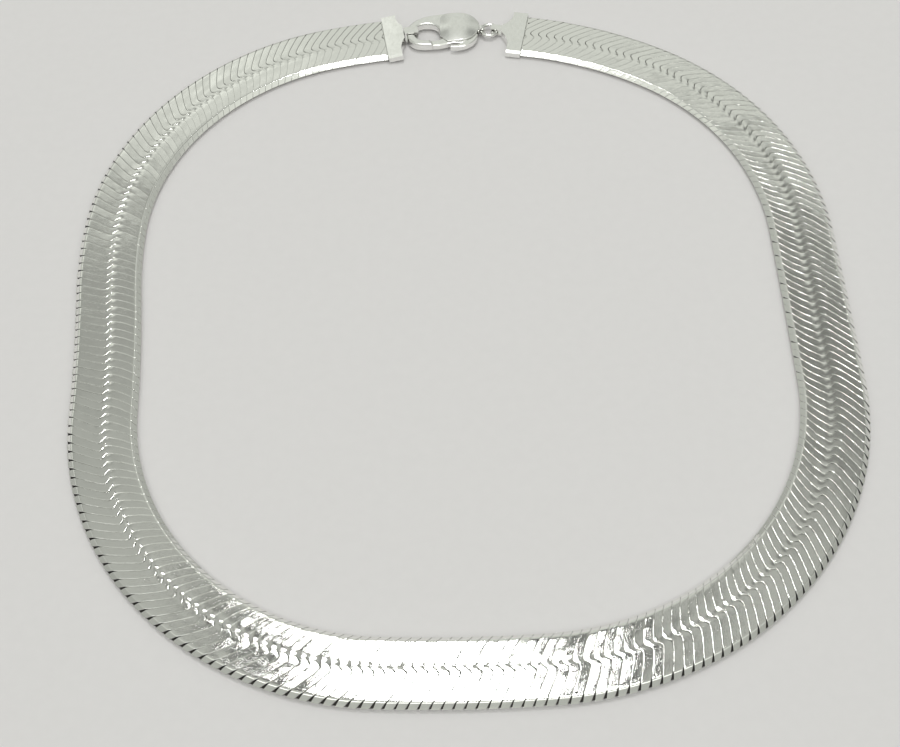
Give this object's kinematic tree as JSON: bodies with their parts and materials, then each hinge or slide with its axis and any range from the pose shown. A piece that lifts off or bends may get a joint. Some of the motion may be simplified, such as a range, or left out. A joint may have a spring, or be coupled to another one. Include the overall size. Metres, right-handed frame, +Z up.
{
  "type": "herringbone chain necklace",
  "caption": "Wide flat herringbone chain lying closed in a rounded loop, with crimped end caps, a jump ring and a sprung lobster clasp.",
  "frame": {"origin": "middle of the lying loop, on the surface it rests on", "axes": "+Z up from the surface; X along the clasp, +X to the jump ring's side; +Y from the front of the loop to the clasp"},
  "size_m": [0.1604, 0.1756, 0.003],
  "materials": {
    "chain_silver": "polished silver, fine worn grain",
    "fitting_silver": "polished silver",
    "lever_silver": "polished silver"
  },
  "bodies": {
    "necklace": {"chain_1": "chain_silver", "chain_2": "chain_silver", "chain_3": "chain_silver", "chain_4": "chain_silver", "chain_5": "chain_silver", "chain_6": "chain_silver", "chain_7": "chain_silver", "chain_8": "chain_silver", "chain_9": "chain_silver", "end_cap_left": "fitting_silver", "end_cap_right": "fitting_silver", "jump_ring": "fitting_silver", "clasp_body": "fitting_silver", "clasp_pin": "lever_silver"},
    "clasp_lever": {"clasp_lever": "lever_silver"}
  },
  "joints": [
    {"name": "clasp_lever_hinge", "type": "hinge", "parent": "necklace", "child": "clasp_lever", "pos_m": [-0.00086, 0.07834, 0.00145], "axis": [0, 0, 1], "range_deg": [-24, 0], "stiffness_Nm_per_rad": 0.0006, "springref_deg": 20.05}
  ]
}
